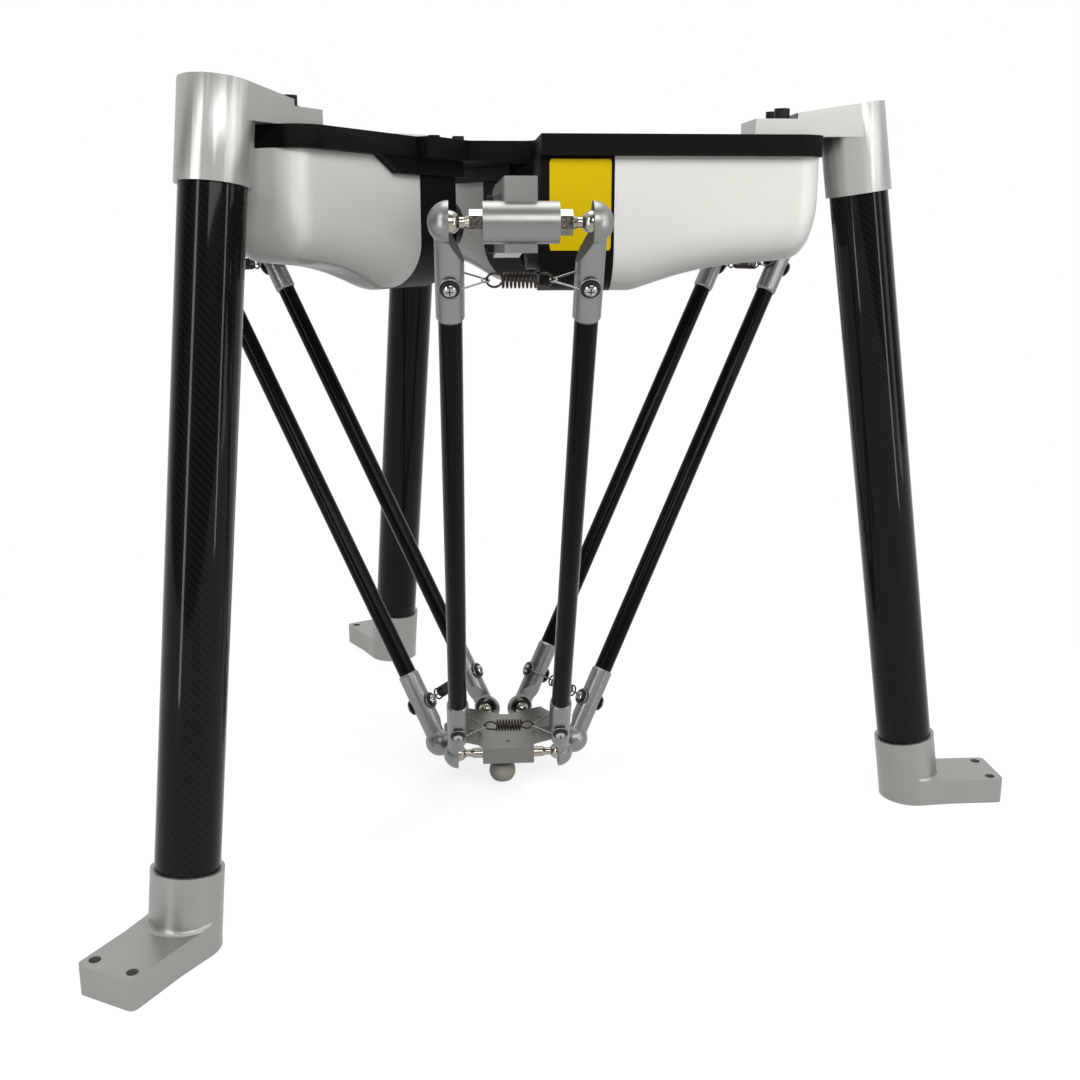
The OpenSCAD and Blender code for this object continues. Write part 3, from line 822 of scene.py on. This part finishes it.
class DELTA_OT_patch(bpy.types.Operator):
    """Lay the blank yellow patch on the front of the first gear housing"""

    bl_idname = "delta_robot.patch"
    bl_label = "Blank patch"

    def execute(self, context):
        low, high = corners("motor_cover_1")
        radius = (high.y - low.y) / 2
        middle = Vector((0, (low.y + high.y) / 2, low.z + radius))
        left, right = low.x - PATCH_LEFT, low.x - PATCH_RIGHT
        top = high.z - PATCH_TOP
        columns, rows = 24, 28
        shape = Shape()
        grid = []
        for r in range(rows + 1):
            z = top + (PATCH_BOTTOM - top) * r / rows
            ends = min(z - PATCH_BOTTOM, top - z)
            corner = max(0.0, PATCH_CORNER - ends)
            inset = PATCH_CORNER - math.sqrt(max(0.0, PATCH_CORNER**2 - corner**2))
            drop = max(0.0, middle.z - z)
            y = middle.y - math.sqrt(radius**2 - drop**2) - PATCH_LIFT
            row = []
            for c in range(columns + 1):
                x = left + inset + (right - left - 2 * inset) * c / columns
                row.append(Vector((x, y, z)))
            grid.append(row)
        front = [shape.ring(row) for row in grid]
        back = [shape.ring([p + Vector((0, PATCH_FILM, 0)) for p in row]) for row in grid]
        for r in range(rows):
            shape.band(front[r], front[r + 1], closed=False)
            shape.band(back[r + 1], back[r], closed=False)
            for c in (0, columns):
                a, b, d, e = front[r][c], front[r + 1][c], back[r + 1][c], back[r][c]
                shape.faces.append((a, e, d, b) if c else (a, b, d, e))
                shape.uvs.append(((0, 0),) * 4)
        shape.band(back[0], front[0], closed=False)
        shape.band(front[-1], back[-1], closed=False)
        film = blank_film("yellow_film", context.scene.delta_colours.patch_yellow)
        piece = mesh_piece("blank_patch", shape.points, shape.faces, film)
        crease(piece)
        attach(piece, "base")
        return {"FINISHED"}


class DELTA_OT_arms(bpy.types.Operator):
    """Paint the arms, cross shafts, rod ends, studs, hub screws, platform and tool"""

    bl_idname = "delta_robot.arms"
    bl_label = "Arms and platform"

    def execute(self, context):
        tones = context.scene.delta_colours
        silver = turned_aluminium("turned_aluminium", tones.turned_silver)
        paint(each("upper_arm") + each("cross_shaft") + each("rod_ends"), silver)
        paint(["platform_deck", "tool_stem"], turned_aluminium("milled_deck", tones.deck_silver))
        soften(each("upper_arm") + ["platform_deck"], FINE_BREAK)
        steel = polished_steel("polished_steel", tones.stud_steel)
        paint(each("ball_studs") + ["platform_studs"], steel)
        paint(each("hub_screws"), powder_black("hub_screw_black", SCREW_BLACK, rough=0.3))
        paint(["tool_knob"], moulded_rubber("knob_rubber", tones.knob_grey))
        return {"FINISHED"}


class DELTA_OT_rods(bpy.types.Operator):
    """Lay the woven carbon rods, set dark crosses of painted shade into the bolts' cross recesses and
    paint bolts, spools and links
    """

    bl_idname = "delta_robot.rods"
    bl_label = "Rods"

    def execute(self, context):
        sizes, tones = context.scene.delta_sizes, context.scene.delta_colours
        weave = carbon_weave(
            "rod_carbon_weave", tones.carbon_black, sizes.tow * ROD_TOW, lacquer=1.13, contrast=1.4)
        inner = sizes.rod_radius - sizes.rod_wall
        for side in SIDES:
            place, whole = forearm_place(side)
            shape = Shape()
            for x in (-BALL_HALF, BALL_HALF):
                start = place @ Vector((x, 0, -whole + ROD_END))
                end = place @ Vector((x, 0, -ROD_END))
                add_tube(shape, start, end, sizes.rod_radius, inner, around=48, along=12)
            piece = mesh_piece(f"woven_rods_{side}", shape.points, shape.faces, weave, shape.uvs)
            crease(piece)
            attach(piece, f"forearm_{side}")
            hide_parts(f"rod_tubes_{side}")
        self.recesses()
        paint(each("link_bolts"), polished_steel("bolt_steel", BOLT_STEEL, rough=0.16))
        paint(each("link_spools"), moulded_rubber("spool_rubber", SPOOL_BLACK, rough=0.35))
        paint(each("spring_links"), polished_steel("link_wire", WIRE_STEEL, rough=0.3))
        return {"FINISHED"}

    def recesses(self):
        """Cross recesses on both heads of the link bolts, each a dark cross of painted shade."""
        # painted shade: the crosses are black to stand in for the shade in the recesses
        shadow = powder_black("recess_shadow", RECESS_SHADE_BLACK, rough=0.5)
        for side in SIDES:
            place, whole = forearm_place(side)
            shape = Shape()
            for x in (-BALL_HALF, BALL_HALF):
                for height in (-UPPER_BOLT, LOWER_BOLT - whole):
                    for turn in (0, math.pi):
                        seat = place @ Matrix.Translation((x, 0, height)) @ Matrix.Rotation(turn, 4, "Z")
                        add_cross(shape, seat @ Matrix.Translation((0, HEAD_FACE, 0)))
            piece = mesh_piece(f"cross_recess_shade_{side}", shape.points, shape.faces, shadow, smooth=False)
            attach(piece, f"forearm_{side}")


class DELTA_OT_springs(bpy.types.Operator):
    """Wind the six tension springs"""

    bl_idname = "delta_robot.springs"
    bl_label = "Springs"

    def execute(self, context):
        sizes = context.scene.delta_sizes
        oiled = polished_steel("oiled_spring_wire", OILED_STEEL, rough=0.3)
        path = spring_path(sizes)
        for side in SIDES:
            place, whole = forearm_place(side)
            shape = Shape()
            for height, flip in ((-UPPER_BOLT, 1), (LOWER_BOLT - whole, -1)):
                seat = place @ Matrix.Translation((0, 0, height)) @ Matrix.Diagonal((1, 1, flip, 1))
                add_wire(shape, [seat @ p for p in path], sizes.spring_wire, around=10)
            piece = mesh_piece(f"wound_springs_{side}", shape.points, shape.faces, oiled)
            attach(piece, f"forearm_{side}")
            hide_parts(f"springs_{side}")
        return {"FINISHED"}


class DELTA_OT_stage(bpy.types.Operator):
    """Set the pale floor, the soft studio lights and the camera"""

    bl_idname = "delta_robot.stage"
    bl_label = "Stage"

    def execute(self, context):
        scene = context.scene
        scene.view_settings.view_transform = "Standard"
        self.floor()
        self.world(scene)
        for name, spot, aim, (width, height), watts, tint in LAMPS:
            lamp = bpy.data.lights.new(name, "AREA")
            lamp.shape = "RECTANGLE"
            lamp.size, lamp.size_y = width, height
            lamp.energy, lamp.color = watts, tint
            softbox = bpy.data.objects.new(name, lamp)
            softbox.location = spot
            softbox.rotation_euler = (Vector(aim) - Vector(spot)).to_track_quat("-Z", "Y").to_euler()
            softbox.visible_camera = False
            scene.collection.objects.link(softbox)
        self.camera(scene)
        return {"FINISHED"}

    def floor(self):
        """A wide pale floor that shows white and keeps the shadow."""
        material = bpy.data.materials.new("pale_floor")
        material.use_nodes = True
        net = Net(material.node_tree)
        net.nodes.clear()
        matt = net.add("ShaderNodeBsdfDiffuse", Color=FLOOR_MATT)
        glow = net.add("ShaderNodeEmission", Strength=FLOOR_GLOW)
        seen = net.join("ShaderNodeAddShader", matt.outputs[0], glow.outputs[0])
        white = net.add("ShaderNodeEmission")
        reach = net.add("ShaderNodeVectorMath")
        reach.operation = "LENGTH"
        net.feed(reach, 0, net.place("Object"))
        fade = net.ramp(reach.outputs["Value"], FADE_START, FADE_END, curve="SMOOTHSTEP")
        shown = net.join("ShaderNodeMixShader", fade, seen, white.outputs[0])
        bounce = net.add("ShaderNodeBsdfDiffuse", Color=FLOOR_BOUNCE)
        mixed = net.join("ShaderNodeMixShader", net.direct_rays(), bounce.outputs[0], shown)
        net.add("ShaderNodeOutputMaterial", Surface=mixed)
        signs = ((-1, -1), (1, -1), (1, 1), (-1, 1))
        sheet = [Vector((FLOOR_HALF * x, FLOOR_HALF * y, 0)) for x, y in signs]
        piece = mesh_piece("floor", sheet, [(0, 1, 2, 3)], material)
        piece.location.z = -FLOOR_DROP

    def world(self, scene):
        """White behind the object and soft light on it."""
        scene.world = bpy.data.worlds.new("studio")
        scene.world.use_nodes = True
        net = Net(scene.world.node_tree)
        net.nodes.clear()
        light = net.add("ShaderNodeBackground", Color=ROOM_WHITE, Strength=ROOM_LIGHT)
        # the metal sees a room that is dim on the camera's side, under a bright ceiling
        heading = net.add("ShaderNodeSeparateXYZ", Vector=net.place("Generated")).outputs
        lifted = net.math("MULTIPLY_ADD", heading["Z"], CEILING_PULL, heading["Y"])
        dusk = net.ramp(lifted, DIM_START, DIM_END, DIM_LIGHT, curve="SMOOTHSTEP")
        rays = net.nodes.new("ShaderNodeLightPath").outputs
        bright = net.math("MAXIMUM", dusk, rays["Is Camera Ray"])
        white = net.add("ShaderNodeBackground", Color=ROOM_WHITE, Strength=bright)
        mixed = net.join("ShaderNodeMixShader", net.direct_rays(), light.outputs[0], white.outputs[0])
        net.add("ShaderNodeOutputWorld", Surface=mixed)

    def camera(self, scene):
        """Looks slightly down at the robot from just left of its front arm."""
        lens = bpy.data.cameras.new("camera")
        lens.sensor_width = SENSOR
        lens.lens = LENS
        lens.clip_start, lens.clip_end = 0.05, 50.0
        camera = bpy.data.objects.new("camera", lens)
        camera.location = CAMERA_PLACE
        camera.rotation_euler = (math.radians(90) - CAMERA_TILT, 0.0, CAMERA_TURN)
        scene.collection.objects.link(camera)
        scene.camera = camera


class DELTA_PT_sidebar(bpy.types.Panel):
    """Shows the robot's sizes, colours and build steps in the sidebar"""

    bl_idname = "DELTA_PT_sidebar"
    bl_label = "Delta Robot"
    bl_space_type = "VIEW_3D"
    bl_region_type = "UI"
    bl_category = "Delta Robot"

    def draw(self, context):
        for group in (context.scene.delta_sizes, context.scene.delta_colours):
            box = self.layout.box()
            for name in group.__annotations__:
                box.prop(group, name)
        for operator in OPERATORS:
            self.layout.operator(operator.bl_idname)


OPERATORS = (
    DELTA_OT_stand,
    DELTA_OT_feet,
    DELTA_OT_housings,
    DELTA_OT_covers,
    DELTA_OT_patch,
    DELTA_OT_arms,
    DELTA_OT_rods,
    DELTA_OT_springs,
    DELTA_OT_stage,
)
CLASSES = (DeltaRobotSizes, DeltaRobotColours, *OPERATORS, DELTA_PT_sidebar)


def register():
    for cls in CLASSES:
        bpy.utils.register_class(cls)
    bpy.types.Scene.delta_sizes = PointerProperty(type=DeltaRobotSizes)
    bpy.types.Scene.delta_colours = PointerProperty(type=DeltaRobotColours)


def unregister():
    del bpy.types.Scene.delta_colours
    del bpy.types.Scene.delta_sizes
    for cls in reversed(CLASSES):
        bpy.utils.unregister_class(cls)


def main():
    register()
    for operator in OPERATORS:
        getattr(bpy.ops.delta_robot, operator.bl_idname.split(".")[1])()


if __name__ == "__main__":
    main()
